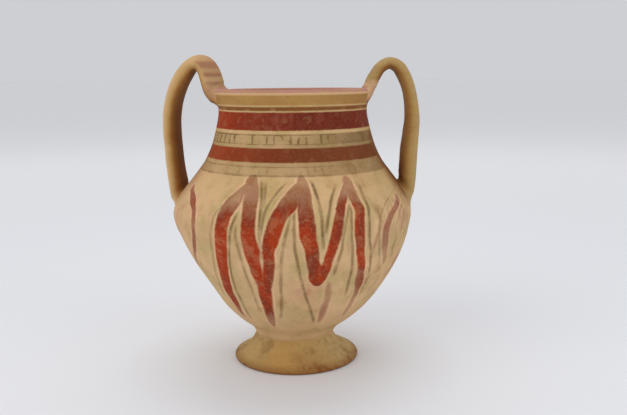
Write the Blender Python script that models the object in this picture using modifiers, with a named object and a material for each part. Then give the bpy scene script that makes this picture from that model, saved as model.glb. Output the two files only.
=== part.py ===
"""A two-handled drinking cup of fired clay, thrown on a wheel, with strap handles luted on by hand.

The cup is one piece: a tall neck flaring into an ovoid bowl, a narrow stem, a spreading foot that is
hollow underneath, and two straps that swing up from the lip and come down on the shoulder.
Everything is in metres, +Z up. The origin is on the floor under the middle of the foot.
"""

import math

import bmesh
import bpy

# Heights and radii of the turned body
RIM_HEIGHT = 0.177
LIP_RADIUS = 0.0493
LIP_ROUNDING = 0.0016
LIP_INNER_CHAMFER = 0.0012
NECK_DROP = 0.014
NECK_RADIUS = 0.0473
BELLY_HEIGHT = 0.0985
BELLY_RADIUS = 0.0772
STEM_HEIGHT = 0.0165
STEM_RADIUS = 0.0253
FOOT_RADIUS = 0.0411
FOOT_EDGE = 0.0027
FOOT_CHAMFER = 0.0006

# Thickness of the clay
WALL = 0.005
FLOOR_THICKNESS = 0.0095

# The hollow under the foot leaves a flat ring to stand on
REST_RING_WIDTH = 0.0075
RECESS_DEPTH = 0.0145

# Strap handles
STRAP_WIDTH = 0.0225
STRAP_THICKNESS = 0.0090
LEFT_STAND_OFF = 0.0036
RIGHT_STAND_OFF = 0.0010
LEFT_RISE = 0.0212
RIGHT_RISE = 0.0187
LEFT_AZIMUTH = math.radians(171.0)
RIGHT_AZIMUTH = math.radians(1.0)
SHOULDER_ROOT_RISE = 0.002

# How finely the round shapes are cut into facets
TURN_STEPS = 60
BODY_STEPS = 2
LIP_STEPS = 3
FLOOR_STEPS = 5
STRAP_CORNERS = 14
STRAP_SQUARENESS = 2.4
STRAP_RESOLUTION = 3

# Free form of the wall between the neck's narrowest ring and the lip: share of the way, share of the flare
NECK_TO_LIP = (0.45, 0.35)

# The same between the neck's narrowest ring and the belly
NECK_TO_BELLY = (
    (0.15, 0.045),
    (0.32, 0.140),
    (0.48, 0.297),
    (0.62, 0.525),
    (0.76, 0.770),
    (0.88, 0.935),
)

# The same between the belly and the stem
BELLY_TO_STEM = (
    (0.16, 0.062),
    (0.36, 0.195),
    (0.56, 0.385),
    (0.72, 0.560),
    (0.84, 0.750),
    (0.93, 0.930),
)

# The same between the stem and the foot's edge
STEM_TO_FOOT = (
    (0.42, 0.200),
    (0.74, 0.540),
)

# The same up the hollow under the foot, from the resting ring to the axis
RECESS_TO_AXIS = (
    (0.35, 0.09),
    (0.80, 0.46),
    (0.97, 0.73),
)

# A strap's middle line: share of the way from the lip out to the strap's furthest reach, share of the
# height from its shoulder root to its crown, size factor of the section, and twist in degrees
LEFT_STRAP = (
    (-0.24, 0.712, 1.05, 8.0),
    (-0.02, 0.775, 1.02, 12.0),
    (0.09, 0.862, 0.98, 14.0),
    (0.17, 0.945, 0.93, 14.0),
    (0.35, 1.000, 0.90, 10.0),
    (0.57, 0.968, 0.92, 6.0),
    (0.78, 0.888, 0.98, 3.0),
    (0.92, 0.757, 1.00, 2.0),
    (1.00, 0.540, 1.02, 2.0),
    (0.975, 0.310, 1.04, 2.0),
    (0.90, 0.130, 1.06, 2.0),
    (0.66, -0.030, 1.10, 2.0),
)
RIGHT_STRAP = (
    (-0.28, 0.722, 0.98, 0.0),
    (-0.08, 0.785, 0.94, 0.0),
    (0.04, 0.872, 0.88, 0.0),
    (0.23, 0.968, 0.84, 0.0),
    (0.47, 1.000, 0.82, 0.0),
    (0.69, 0.963, 0.82, 0.0),
    (0.84, 0.888, 0.82, 0.0),
    (0.955, 0.765, 0.86, 0.0),
    (1.00, 0.617, 0.95, 0.0),
    (0.965, 0.450, 1.04, 0.0),
    (0.93, 0.290, 1.10, 0.0),
    (0.88, 0.130, 1.12, 0.0),
    (0.66, -0.030, 1.12, 0.0),
)

CLAY_COLOUR = (0.56, 0.38, 0.19, 1.0)
CLAY_ROUGHNESS = 0.75


def clear_scene():
    """Remove every object that the file starts with."""
    for obj in list(bpy.data.objects):
        bpy.data.objects.remove(obj, do_unlink=True)


def collection(name):
    """A new collection under the scene."""
    made = bpy.data.collections.new(name)
    bpy.context.scene.collection.children.link(made)
    return made


def clay_material():
    """Matt fired clay."""
    material = bpy.data.materials.new("fired_clay")
    material.use_nodes = True
    shader = material.node_tree.nodes["Principled BSDF"]
    shader.inputs["Base Color"].default_value = CLAY_COLOUR
    shader.inputs["Roughness"].default_value = CLAY_ROUGHNESS
    shader.inputs["Metallic"].default_value = 0.0
    return material


def mix(low, high, share):
    """The value a share of the way from low to high."""
    return low + (high - low) * share


def smooth_through(points, spans):
    """Points of a smooth curve through the given (radius, height) points, spans to each interval."""
    padded = [points[0]] + list(points) + [points[-1]]
    curve = [points[0]]
    for before, start, end, after in zip(padded, padded[1:], padded[2:], padded[3:]):
        length = math.dist(start, end)
        behind = math.dist(before, end) or 1.0
        ahead = math.dist(start, after) or 1.0
        for step in range(1, spans + 1):
            t = step / spans
            place = []
            for axis in range(2):
                leave = (end[axis] - before[axis]) / behind * length
                arrive = (after[axis] - start[axis]) / ahead * length
                place.append(
                    (2 * t**3 - 3 * t**2 + 1) * start[axis]
                    + (t**3 - 2 * t**2 + t) * leave
                    + (3 * t**2 - 2 * t**3) * end[axis]
                    + (t**3 - t**2) * arrive
                )
            curve.append(tuple(place))
    return curve


def wall_outline():
    """The outside of the wall from just under the lip down to the stem, as (radius, height)."""
    neck_height = RIM_HEIGHT - NECK_DROP
    stations = [(LIP_RADIUS, RIM_HEIGHT - LIP_ROUNDING)]
    up, flare = NECK_TO_LIP
    stations.append((mix(NECK_RADIUS, LIP_RADIUS, flare), mix(neck_height, RIM_HEIGHT, up)))
    stations.append((NECK_RADIUS, neck_height))
    for down, share in NECK_TO_BELLY:
        stations.append((mix(NECK_RADIUS, BELLY_RADIUS, share), mix(neck_height, BELLY_HEIGHT, down)))
    stations.append((BELLY_RADIUS, BELLY_HEIGHT))
    for down, share in BELLY_TO_STEM:
        stations.append((mix(BELLY_RADIUS, STEM_RADIUS, share), mix(BELLY_HEIGHT, STEM_HEIGHT, down)))
    stations.append((STEM_RADIUS, STEM_HEIGHT))
    return smooth_through(stations, BODY_STEPS)


def quarter_round(centre, radius, start_degrees, end_degrees, steps):
    """Points on an arc, angles counted from the outward direction towards up."""
    points = []
    for step in range(steps + 1):
        angle = math.radians(mix(start_degrees, end_degrees, step / steps))
        points.append((centre[0] + radius * math.cos(angle), centre[1] + radius * math.sin(angle)))
    return points


def outer_profile():
    """The whole outside, from the axis at the rim, down the wall and foot, and up the hollow below."""
    lip_centre = (LIP_RADIUS - LIP_ROUNDING, RIM_HEIGHT - LIP_ROUNDING)
    profile = [(0.0, RIM_HEIGHT)]
    profile += quarter_round(lip_centre, LIP_ROUNDING, 90.0, 0.0, LIP_STEPS)
    profile += wall_outline()[1:]
    rim_of_foot = (FOOT_RADIUS, FOOT_EDGE)
    stations = [(STEM_RADIUS, STEM_HEIGHT)]
    for down, share in STEM_TO_FOOT:
        stations.append((mix(STEM_RADIUS, FOOT_RADIUS, share), mix(STEM_HEIGHT, FOOT_EDGE, down)))
    profile += smooth_through(stations + [rim_of_foot], BODY_STEPS)[1:]
    profile.append((FOOT_RADIUS, FOOT_CHAMFER))
    profile.append((FOOT_RADIUS - FOOT_CHAMFER, 0.0))
    recess_radius = FOOT_RADIUS - REST_RING_WIDTH
    profile.append((recess_radius, 0.0))
    for up, share in RECESS_TO_AXIS:
        profile.append((mix(recess_radius, 0.0, share), mix(0.0, RECESS_DEPTH, up)))
    profile.append((0.0, RECESS_DEPTH))
    return profile


def hollow_profile():
    """The space inside the cup, from the axis above the rim down to the middle of its floor."""
    outline = wall_outline()
    lip_inner = LIP_RADIUS - WALL
    profile = [(0.0, RIM_HEIGHT + LIP_ROUNDING)]
    profile.append((lip_inner + LIP_INNER_CHAMFER + LIP_ROUNDING, RIM_HEIGHT + LIP_ROUNDING))
    profile.append((lip_inner, RIM_HEIGHT - LIP_INNER_CHAMFER))
    lowest = mix(BELLY_HEIGHT, STEM_HEIGHT, BELLY_TO_STEM[-2][0])
    for before, here, after in list(zip(outline, outline[1:], outline[2:]))[::BODY_STEPS]:
        if here[1] < lowest or here[1] > RIM_HEIGHT - 2.0 * LIP_ROUNDING:
            continue
        across, up = after[0] - before[0], after[1] - before[1]
        length = math.hypot(across, up)
        profile.append((here[0] + WALL * up / length, here[1] - WALL * across / length))
        lean = across / -up
    side_radius, side_height = profile[-1]
    floor = RECESS_DEPTH + FLOOR_THICKNESS
    knee_radius = side_radius + (side_height - floor) * lean
    for step in range(1, FLOOR_STEPS + 1):
        t = step / FLOOR_STEPS
        radius = (1 - t) ** 2 * side_radius + 2 * t * (1 - t) * knee_radius
        height = (1 - t) ** 2 * side_height + (2 * t * (1 - t) + t**2) * floor
        profile.append((radius, height))
    return profile


def turned(name, profile, steps, place_in):
    """A profile of (radius, height) points turned once about the upright axis."""
    mesh = bpy.data.meshes.new(name)
    points = [(radius, 0.0, height) for radius, height in profile]
    mesh.from_pydata(points, [(i, i + 1) for i in range(len(points) - 1)], [])
    obj = bpy.data.objects.new(name, mesh)
    place_in.objects.link(obj)
    screw = obj.modifiers.new("turn", "SCREW")
    screw.axis = "Z"
    screw.angle = 2.0 * math.pi
    screw.steps = steps
    screw.render_steps = steps
    screw.use_merge_vertices = True
    screw.merge_threshold = 0.00001
    screw.use_smooth_shade = True
    return obj


def strap_section():
    """A rounded strip, the cross-section of a strap, as a closed flat curve."""
    curve = bpy.data.curves.new("strap_section", "CURVE")
    spline = curve.splines.new("POLY")
    spline.points.add(STRAP_CORNERS - 1)
    for index, point in enumerate(spline.points):
        angle = 2.0 * math.pi * (index + 0.5) / STRAP_CORNERS
        cos, sin = math.cos(angle), math.sin(angle)
        power = 2.0 / STRAP_SQUARENESS
        x = math.copysign(abs(cos) ** power, cos) * STRAP_WIDTH / 2
        y = math.copysign(abs(sin) ** power, sin) * STRAP_THICKNESS / 2
        point.co = (x, y, 0.0, 1.0)
    spline.use_cyclic_u = True
    return bpy.data.objects.new("strap_section", curve)


def strap(name, path, stand_off, rise, azimuth, place_in):
    """One handle: a strap swept along its middle line in an upright plane through the cup's axis."""
    reach = BELLY_RADIUS + stand_off
    crown = RIM_HEIGHT + rise - STRAP_THICKNESS / 2
    root = BELLY_HEIGHT + SHOULDER_ROOT_RISE
    section = strap_section()
    curve = bpy.data.curves.new(name, "CURVE")
    curve.dimensions = "3D"
    curve.twist_mode = "MINIMUM"
    curve.bevel_mode = "OBJECT"
    curve.bevel_object = section
    curve.use_fill_caps = True
    curve.resolution_u = STRAP_RESOLUTION
    spline = curve.splines.new("BEZIER")
    spline.bezier_points.add(len(path) - 1)
    for point, (across, up, size, twist) in zip(spline.bezier_points, path):
        point.co = (mix(LIP_RADIUS, reach, across), 0.0, mix(root, crown, up))
        point.handle_left_type = "AUTO"
        point.handle_right_type = "AUTO"
        point.radius = size
        point.tilt = math.radians(twist)
    swept = bpy.data.objects.new(name + "_curve", curve)
    swept.rotation_euler = (0.0, 0.0, azimuth)
    place_in.objects.link(section)
    place_in.objects.link(swept)
    bpy.context.view_layer.update()
    graph = bpy.context.evaluated_depsgraph_get()
    mesh = bpy.data.meshes.new_from_object(swept.evaluated_get(graph))
    made = bpy.data.objects.new(name, mesh)
    made.matrix_world = swept.matrix_world
    place_in.objects.link(made)
    bpy.data.objects.remove(swept, do_unlink=True)
    bpy.data.objects.remove(section, do_unlink=True)
    weld(mesh)
    return made


def weld(mesh):
    """Join a swept tube's caps to its sides and point every face outwards."""
    shape = bmesh.new()
    shape.from_mesh(mesh)
    bmesh.ops.remove_doubles(shape, verts=shape.verts, dist=0.00001)
    bmesh.ops.recalc_face_normals(shape, faces=shape.faces)
    shape.to_mesh(mesh)
    shape.free()


def hide_helper(obj):
    """Mark an object as a cutter or helper that isn't part of the cup."""
    obj.hide_render = True
    obj.display_type = "WIRE"


def combine(target, tool, operation):
    """Add or remove another object's volume with an exact Boolean."""
    modifier = target.modifiers.new(f"{operation.lower()}_{tool.name}", "BOOLEAN")
    modifier.operation = operation
    modifier.object = tool
    modifier.solver = "EXACT"
    hide_helper(tool)


def build():
    """Make the cup."""
    clear_scene()
    parts = collection("drinking_cup")
    helpers = collection("helpers")
    cup = turned("cup", outer_profile(), TURN_STEPS, parts)
    left = strap("left_strap", LEFT_STRAP, LEFT_STAND_OFF, LEFT_RISE, LEFT_AZIMUTH, helpers)
    right = strap("right_strap", RIGHT_STRAP, RIGHT_STAND_OFF, RIGHT_RISE, RIGHT_AZIMUTH, helpers)
    hollow = turned("hollow", hollow_profile(), TURN_STEPS, helpers)
    combine(cup, left, "UNION")
    combine(cup, right, "UNION")
    combine(cup, hollow, "DIFFERENCE")
    cup.data.materials.append(clay_material())


build()
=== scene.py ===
"""The looks of a two-handled drinking cup: thrown clay under a pale slip, with worn red and olive paint.

The cup is thrown on the wheel as one closed wall, two straps are pulled and luted on, and the whole is
dipped, banded and painted with three tall arches. Lengths are in metres unless a name says millimetres.
"""

import bisect
import logging
import math
from dataclasses import dataclass, field
from enum import Enum
from functools import reduce

import bmesh
import bpy
from mathutils import Matrix, Vector
from mathutils.bvhtree import BVHTree


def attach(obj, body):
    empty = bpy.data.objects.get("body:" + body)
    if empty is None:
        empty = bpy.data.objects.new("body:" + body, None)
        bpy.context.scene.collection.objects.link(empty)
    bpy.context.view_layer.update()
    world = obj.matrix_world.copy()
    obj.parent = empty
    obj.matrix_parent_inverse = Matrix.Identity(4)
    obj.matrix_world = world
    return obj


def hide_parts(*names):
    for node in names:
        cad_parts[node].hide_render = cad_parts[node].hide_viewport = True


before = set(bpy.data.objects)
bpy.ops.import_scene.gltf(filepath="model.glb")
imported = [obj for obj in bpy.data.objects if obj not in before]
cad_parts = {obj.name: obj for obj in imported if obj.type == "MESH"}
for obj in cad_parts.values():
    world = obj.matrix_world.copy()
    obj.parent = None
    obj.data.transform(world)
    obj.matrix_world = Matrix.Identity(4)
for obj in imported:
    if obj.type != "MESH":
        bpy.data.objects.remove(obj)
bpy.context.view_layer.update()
LOG = logging.getLogger("drinking_cup")
Point = tuple[float, float]


class Joining(Enum):
    """How one body of clay is worked into another."""

    LUTED_ON = "UNION"
    CUT_AWAY = "DIFFERENCE"


class Axis(Enum):
    """A part of a position."""

    ACROSS = "X"
    DEEP = "Y"
    UP = "Z"


@dataclass(frozen=True)
class Colour:
    """A colour as the eye reads it, each part from 0 to 255."""

    red: float
    green: float
    blue: float

    def light(self) -> tuple[float, float, float, float]:
        """The colour as amounts of light.

        Returns:
            Red, green and blue from 0 to 1, and full cover.
        """
        parts = []
        for value in (self.red, self.green, self.blue):
            share = value / 255.0
            parts.append(share / 12.92 if share <= 0.04045 else ((share + 0.055) / 1.055) ** 2.4)
        return (*parts, 1.0)


class Signal:
    """The output of a node, on which plain Python sums add Math nodes."""

    def __init__(self, sheet: "NodeSheet", socket: bpy.types.NodeSocket) -> None:
        """Keep the sheet that the node is on and the socket that the value leaves by."""
        self.sheet = sheet
        self.socket = socket

    def maths(self, operation: str, *others: "Signal | float", clamp: bool = False) -> "Signal":
        """Add one Math node.

        Args:
            operation: The Math node's operation.
            others: The values after this one.
            clamp: Whether the result is kept between 0 and 1.

        Returns:
            The node's result.
        """
        values = dict(enumerate((self, *others)))
        node = self.sheet.add("ShaderNodeMath", {"operation": operation, "use_clamp": clamp}, values)
        return Signal(self.sheet, node.outputs[0])

    def __add__(self, other: "Signal | float") -> "Signal":
        """This plus another."""
        return self.maths("ADD", other)

    __radd__ = __add__

    def __sub__(self, other: "Signal | float") -> "Signal":
        """This less another."""
        return self.maths("SUBTRACT", other)

    def __rsub__(self, other: float) -> "Signal":
        """A number less this."""
        return (self * -1.0).maths("ADD", other)

    def __mul__(self, other: "Signal | float") -> "Signal":
        """This times another."""
        return self.maths("MULTIPLY", other)

    __rmul__ = __mul__

    def __truediv__(self, other: "Signal | float") -> "Signal":
        """This divided by another."""
        return self.maths("DIVIDE", other)

    def __rtruediv__(self, other: float) -> "Signal":
        """A number divided by this."""
        return (self**-1.0) * other

    def __mod__(self, other: "Signal | float") -> "Signal":
        """What is left after whole steps of another."""
        return self.maths("FLOORED_MODULO", other)

    def __pow__(self, other: "Signal | float") -> "Signal":
        """This to a power."""
        return self.maths("POWER", other)

    def __abs__(self) -> "Signal":
        """This without its sign."""
        return self.maths("ABSOLUTE")

    def least(self, other: "Signal | float") -> "Signal":
        """The lesser of this and another."""
        return self.maths("MINIMUM", other)

    def most(self, other: "Signal | float") -> "Signal":
        """The greater of this and another."""
        return self.maths("MAXIMUM", other)

    def rising(self, start: float, end: float) -> "Signal":
        """Fade softly from 0 at one value of this to 1 at another.

        Args:
            start: Where the result is 0.
            end: Where the result is 1. It may be the lower of the two.

        Returns:
            The fade.
        """
        values = {"Value": self, "From Min": start, "From Max": end, "To Min": 0.0, "To Max": 1.0}
        node = self.sheet.add("ShaderNodeMapRange", {"interpolation_type": "SMOOTHSTEP"}, values)
        return Signal(self.sheet, node.outputs["Result"])

    def within(self, low: float, high: float, soft: float) -> "Signal":
        """1 between two values of this and 0 outside them, with soft edges."""
        return self.rising(low - soft, low + soft) * self.rising(high + soft, high - soft)


class NodeSheet:
    """A node tree, shader or geometry, and the ways that nodes are added to it."""

    def __init__(self, tree: bpy.types.NodeTree) -> None:
        """Keep the tree."""
        self.tree = tree

    def feed(self, node: bpy.types.Node, values: dict) -> None:
        """Set a node's inputs.

        Args:
            node: The node.
            values: What each input takes, by its name or place: a Signal, a socket, a Colour or a plain value.
        """
        for name, value in values.items():
            socket = node.inputs[name]
            if isinstance(value, Signal):
                self.tree.links.new(value.socket, socket)
            elif isinstance(value, bpy.types.NodeSocket):
                self.tree.links.new(value, socket)
            else:
                socket.default_value = value.light() if isinstance(value, Colour) else value

    def add(self, kind: str, settings: dict | None = None, values: dict | None = None) -> bpy.types.Node:
        """Add one node.

        Args:
            kind: The node's type.
            settings: The node's own settings, which are set first.
            values: What its inputs take, as for feed.

        Returns:
            The node.
        """
        node = self.tree.nodes.new(kind)
        for name, setting in (settings or {}).items():
            setattr(node, name, setting)
        self.feed(node, values or {})
        return node

    def out(self, node: bpy.types.Node, name: str | int = 0) -> Signal:
        """One output of a node, as a Signal."""
        return Signal(self, node.outputs[name])

    def vector(self, operation: str, *values: object, scale: "Signal | float | None" = None) -> Signal:
        """Add one Vector Math node.

        Args:
            operation: The node's operation.
            values: Its vectors.
            scale: Its scale, for the operation that has one.

        Returns:
            The resulting vector.
        """
        inputs: dict = dict(enumerate(values))
        if scale is not None:
            inputs["Scale"] = scale
        return self.out(self.add("ShaderNodeVectorMath", {"operation": operation}, inputs), "Vector")

    def place(self, x: object, y: object, z: object) -> Signal:
        """A vector put together from three values."""
        return self.out(self.add("ShaderNodeCombineXYZ", {}, {"X": x, "Y": y, "Z": z}))

    def part(self, vector: object, axis: Axis) -> Signal:
        """One part of a vector."""
        return self.out(self.add("ShaderNodeSeparateXYZ", {}, {0: vector}), axis.value)

    def noise(self, vector: object, fineness: float | Point, detail: float = 2.0, roughness: float = 0.5) -> Signal:
        """Noise from 0 to 1.

        Args:
            vector: Where it is read.
            fineness: How fine it is, or how fine across and how fine upwards.
            detail: How many finer layers it has.
            roughness: How strong those layers are.

        Returns:
            The noise.
        """
        if isinstance(fineness, tuple):
            across, up = fineness
            vector, fineness = self.vector("MULTIPLY", vector, (across, across, up)), 1.0
        values = {"Vector": vector, "Scale": fineness, "Detail": detail, "Roughness": roughness}
        return self.out(self.add("ShaderNodeTexNoise", {}, values), 0)

    def mark(self, name: str) -> Signal:
        """A number that the mesh carries on its points."""
        return self.out(self.add("ShaderNodeAttribute", {"attribute_name": name}), "Fac")

    def points_in(self, mesh: object) -> Signal:
        """How many points a mesh has."""
        return self.out(self.add("GeometryNodeAttributeDomainSize", {"component": "MESH"}, {0: mesh}), "Point Count")

    def grid(self, columns: Signal, rows: Signal) -> tuple[Signal, Signal, Signal]:
        """Lay a flat grid.

        Args:
            columns: How many columns of points it has.
            rows: How many points a column has.

        Returns:
            The grid, and the column and the row that each of its points is in.
        """
        mesh = self.out(self.add("GeometryNodeMeshGrid", {}, {"Vertices X": columns, "Vertices Y": rows}), "Mesh")
        index = self.out(self.add("GeometryNodeInputIndex"))
        return mesh, (index / rows).maths("FLOOR"), index % rows

    def sample(self, mesh: object, value: object, index: Signal) -> Signal:
        """A vector read off one point of a mesh; past either end, the end point counts."""
        settings = {"data_type": "FLOAT_VECTOR", "domain": "POINT", "clamp": True}
        return self.out(self.add("GeometryNodeSampleIndex", settings, {0: mesh, "Value": value, "Index": index}))

    def close(self, shape: Signal, clay: Signal) -> None:
        """End a geometry tree with a joined, smooth, real body in its material.

        Args:
            shape: The body.
            clay: Its material.
        """
        steps = (
            ("GeometryNodeMergeByDistance", {"Distance": 2e-6}),
            ("GeometryNodeSetShadeSmooth", {}),
            ("GeometryNodeRealizeInstances", {}),
            ("GeometryNodeSetMaterial", {"Material": clay}),
        )
        for kind, values in steps:
            shape = self.out(self.add(kind, {}, {"Geometry": shape, **values}))
        self.add("NodeGroupOutput", {}, {0: shape})

    def curve(self, value: Signal, points: list[Point]) -> Signal:
        """A smooth curve of a value.

        Args:
            value: The value, between 0 and 1.
            points: The curve's points, whose numbers lie between 0 and 1.

        Returns:
            The result.
        """
        node = self.add("ShaderNodeFloatCurve", {}, {"Value": value})
        draw_curve(node.mapping.curves[0], points)
        node.mapping.update()
        return self.out(node)

    def three_curves(self, value: Signal, points: list[list[Point]]) -> list[Signal]:
        """Three smooth curves of one value.

        Args:
            value: The value, between 0 and 1.
            points: The points of each of the three curves.

        Returns:
            The three results.
        """
        node = self.add("ShaderNodeRGBCurve", {}, {"Color": value})
        for line, places in zip(node.mapping.curves, points):
            draw_curve(line, places)
        node.mapping.update()
        split = self.add("ShaderNodeSeparateColor", {}, {0: self.out(node)})
        return [self.out(split, index) for index in range(3)]

    def blend(self, share: object, low: object, high: object, way: str = "MIX") -> Signal:
        """Mix two colours by how much of the second, the higher, there is."""
        settings = {"data_type": "RGBA", "blend_type": way, "clamp_factor": True}
        return self.out(self.add("ShaderNodeMix", settings, {0: share, 6: low, 7: high}), 2)

    def coats(self, ground: object, layers: tuple[tuple[Signal, object], ...]) -> Signal:
        """Lay colours over one another.

        Args:
            ground: The lowest colour.
            layers: How much there is of each further colour, and the colour.

        Returns:
            The colour that is seen.
        """
        for share, colour in layers:
            ground = self.blend(share, ground, colour)
        return ground


def draw_curve(line: bpy.types.CurveMap, points: list[Point]) -> None:
    """Put points on one line of a curve node in place of its two own ones.

    Args:
        line: The curve node's line.
        points: At least two points, in the order of their first numbers.
    """
    while len(line.points) < len(points):
        line.points.new(0.5, 0.5)
    for mark, (across, up) in zip(line.points, points):
        mark.location = (across, up)
        mark.handle_type = "AUTO"


def geometry_sheet(name: str, kinds: dict[str, str]) -> tuple[NodeSheet, dict[str, Signal]]:
    """Begin a geometry tree.

    Args:
        name: The tree's name.
        kinds: The kind of each of its inputs, by the input's name.

    Returns:
        The tree's sheet, and what each input gives.
    """
    sheet = NodeSheet(bpy.data.node_groups.new(name, "GeometryNodeTree"))
    for label, kind in kinds.items():
        sheet.tree.interface.new_socket(label, in_out="INPUT", socket_type=f"NodeSocket{kind}")
    sheet.tree.interface.new_socket("Body", in_out="OUTPUT", socket_type="NodeSocketGeometry")
    group = sheet.add("NodeGroupInput")
    return sheet, {label: sheet.out(group, label) for label in kinds}


def settled(obj: bpy.types.Object) -> bpy.types.Mesh:
    """The plain mesh that an object's modifiers give, with the modifiers gone.

    Args:
        obj: An object with live modifiers.

    Returns:
        Its new mesh, which the object now holds.
    """
    graph = bpy.context.evaluated_depsgraph_get()
    mesh = bpy.data.meshes.new_from_object(obj.evaluated_get(graph), depsgraph=graph)
    obj.modifiers.clear()
    obj.data = mesh
    return mesh


def closed_outward(mesh: bpy.types.Mesh) -> None:
    """Join a closed mesh's doubled points and turn every face outwards.

    Args:
        mesh: The mesh.
    """
    shape = bmesh.new()
    shape.from_mesh(mesh)
    bmesh.ops.remove_doubles(shape, verts=shape.verts, dist=1e-6)
    bmesh.ops.recalc_face_normals(shape, faces=shape.faces)
    shape.to_mesh(mesh)
    shape.free()


def shape_by(obj: bpy.types.Object, tree: bpy.types.NodeTree, values: dict[str, object]) -> None:
    """Shape an object by a geometry tree and leave it a plain closed mesh.

    Args:
        obj: The object.
        tree: The tree.
        values: What the tree's named inputs take.
    """
    modifier = obj.modifiers.new(tree.name, "NODES")
    modifier.node_group = tree
    for item in tree.interface.items_tree:
        if item.name in values:
            modifier[item.identifier] = values[item.name]
    closed_outward(settled(obj))


def new_object(name: str, data: bpy.types.ID) -> bpy.types.Object:
    """Put an object into the scene.

    Args:
        name: Its name.
        data: Its mesh, lamp or camera.

    Returns:
        The object.
    """
    obj = bpy.data.objects.new(name, data)
    bpy.context.scene.collection.objects.link(obj)
    return obj


def line_object(name: str, points: list[Point]) -> bpy.types.Object:
    """Put an object into the scene whose mesh is a bare line.

    Args:
        name: Its name.
        points: The line's points, each as its place outwards and up.

    Returns:
        The object.
    """
    mesh = bpy.data.meshes.new(name)
    mesh.from_pydata([(out, 0.0, up) for out, up in points], [(i, i + 1) for i in range(len(points) - 1)], [])
    return new_object(name, mesh)


def work_in(target: bpy.types.Object, tool: bpy.types.Object, way: Joining) -> None:
    """Join or cut one closed mesh with another and throw the tool away.

    Args:
        target: The object that changes.
        tool: The object that is added or cut away.
        way: Which of the two.
    """
    modifier = target.modifiers.new(way.name, "BOOLEAN")
    modifier.operation = way.value
    modifier.object = tool
    modifier.solver = "EXACT"
    settled(target)
    bpy.data.objects.remove(tool, do_unlink=True)


def blend_between(low: float, high: float, share: float) -> float:
    """The number a share of the way from low to high."""
    return low + (high - low) * share


def between(start: Point, end: Point, steps: tuple[Point, ...]) -> list[Point]:
    """Points between two others, by their shares of the way up or down and of the way across."""
    return [(blend_between(start[0], end[0], out), blend_between(start[1], end[1], up)) for up, out in steps]


def smooth_through(rows: list[tuple[float, ...]], spans: int) -> list[tuple[float, ...]]:
    """Rows of numbers on a smooth curve through the given rows.

    Args:
        rows: The rows, whose first two numbers are a place.
        spans: How many steps each interval is cut into.

    Returns:
        All rows on the curve, the given ones among them.
    """
    padded = [rows[0], *rows, rows[-1]]
    curve = [tuple(rows[0])]
    for before, start, end, after in zip(padded, padded[1:], padded[2:], padded[3:]):
        length = math.dist(start[:2], end[:2])
        behind = math.dist(before[:2], end[:2]) or 1.0
        ahead = math.dist(start[:2], after[:2]) or 1.0
        for step in range(1, spans + 1):
            t = step / spans
            row = []
            for a, b, c, d in zip(before, start, end, after):
                leave, arrive = (c - a) / behind * length, (d - b) / ahead * length
                row.append(
                    (2 * t**3 - 3 * t**2 + 1) * b
                    + (t**3 - 2 * t**2 + t) * leave
                    + (3 * t**2 - 2 * t**3) * c
                    + (t**3 - t**2) * arrive
                )
            curve.append(tuple(row))
    return curve


def evenly_spaced(points: list[Point], spacing: float) -> list[Point]:
    """Points at an even spacing along a line of points, both ends kept.

    Args:
        points: The line.
        spacing: About how far apart the new points lie.

    Returns:
        The new points.
    """
    lengths = [0.0]
    for first, second in zip(points, points[1:]):
        lengths.append(lengths[-1] + math.dist(first, second))
    count = max(1, round(lengths[-1] / spacing))
    made, index = [], 0
    for step in range(count + 1):
        wanted = lengths[-1] * step / count
        while index < len(points) - 2 and lengths[index + 1] < wanted:
            index += 1
        share = (wanted - lengths[index]) / ((lengths[index + 1] - lengths[index]) or 1.0)
        made.append(tuple(blend_between(a, b, share) for a, b in zip(points[index], points[index + 1])))
    return made


def arc(centre: Point, radius: float, start: float, end: float, steps: int) -> list[Point]:
    """Points on an arc, with angles in degrees from outward towards up."""
    angles = [math.radians(blend_between(start, end, step / steps)) for step in range(steps + 1)]
    return [(centre[0] + radius * math.cos(a), centre[1] + radius * math.sin(a)) for a in angles]


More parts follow.
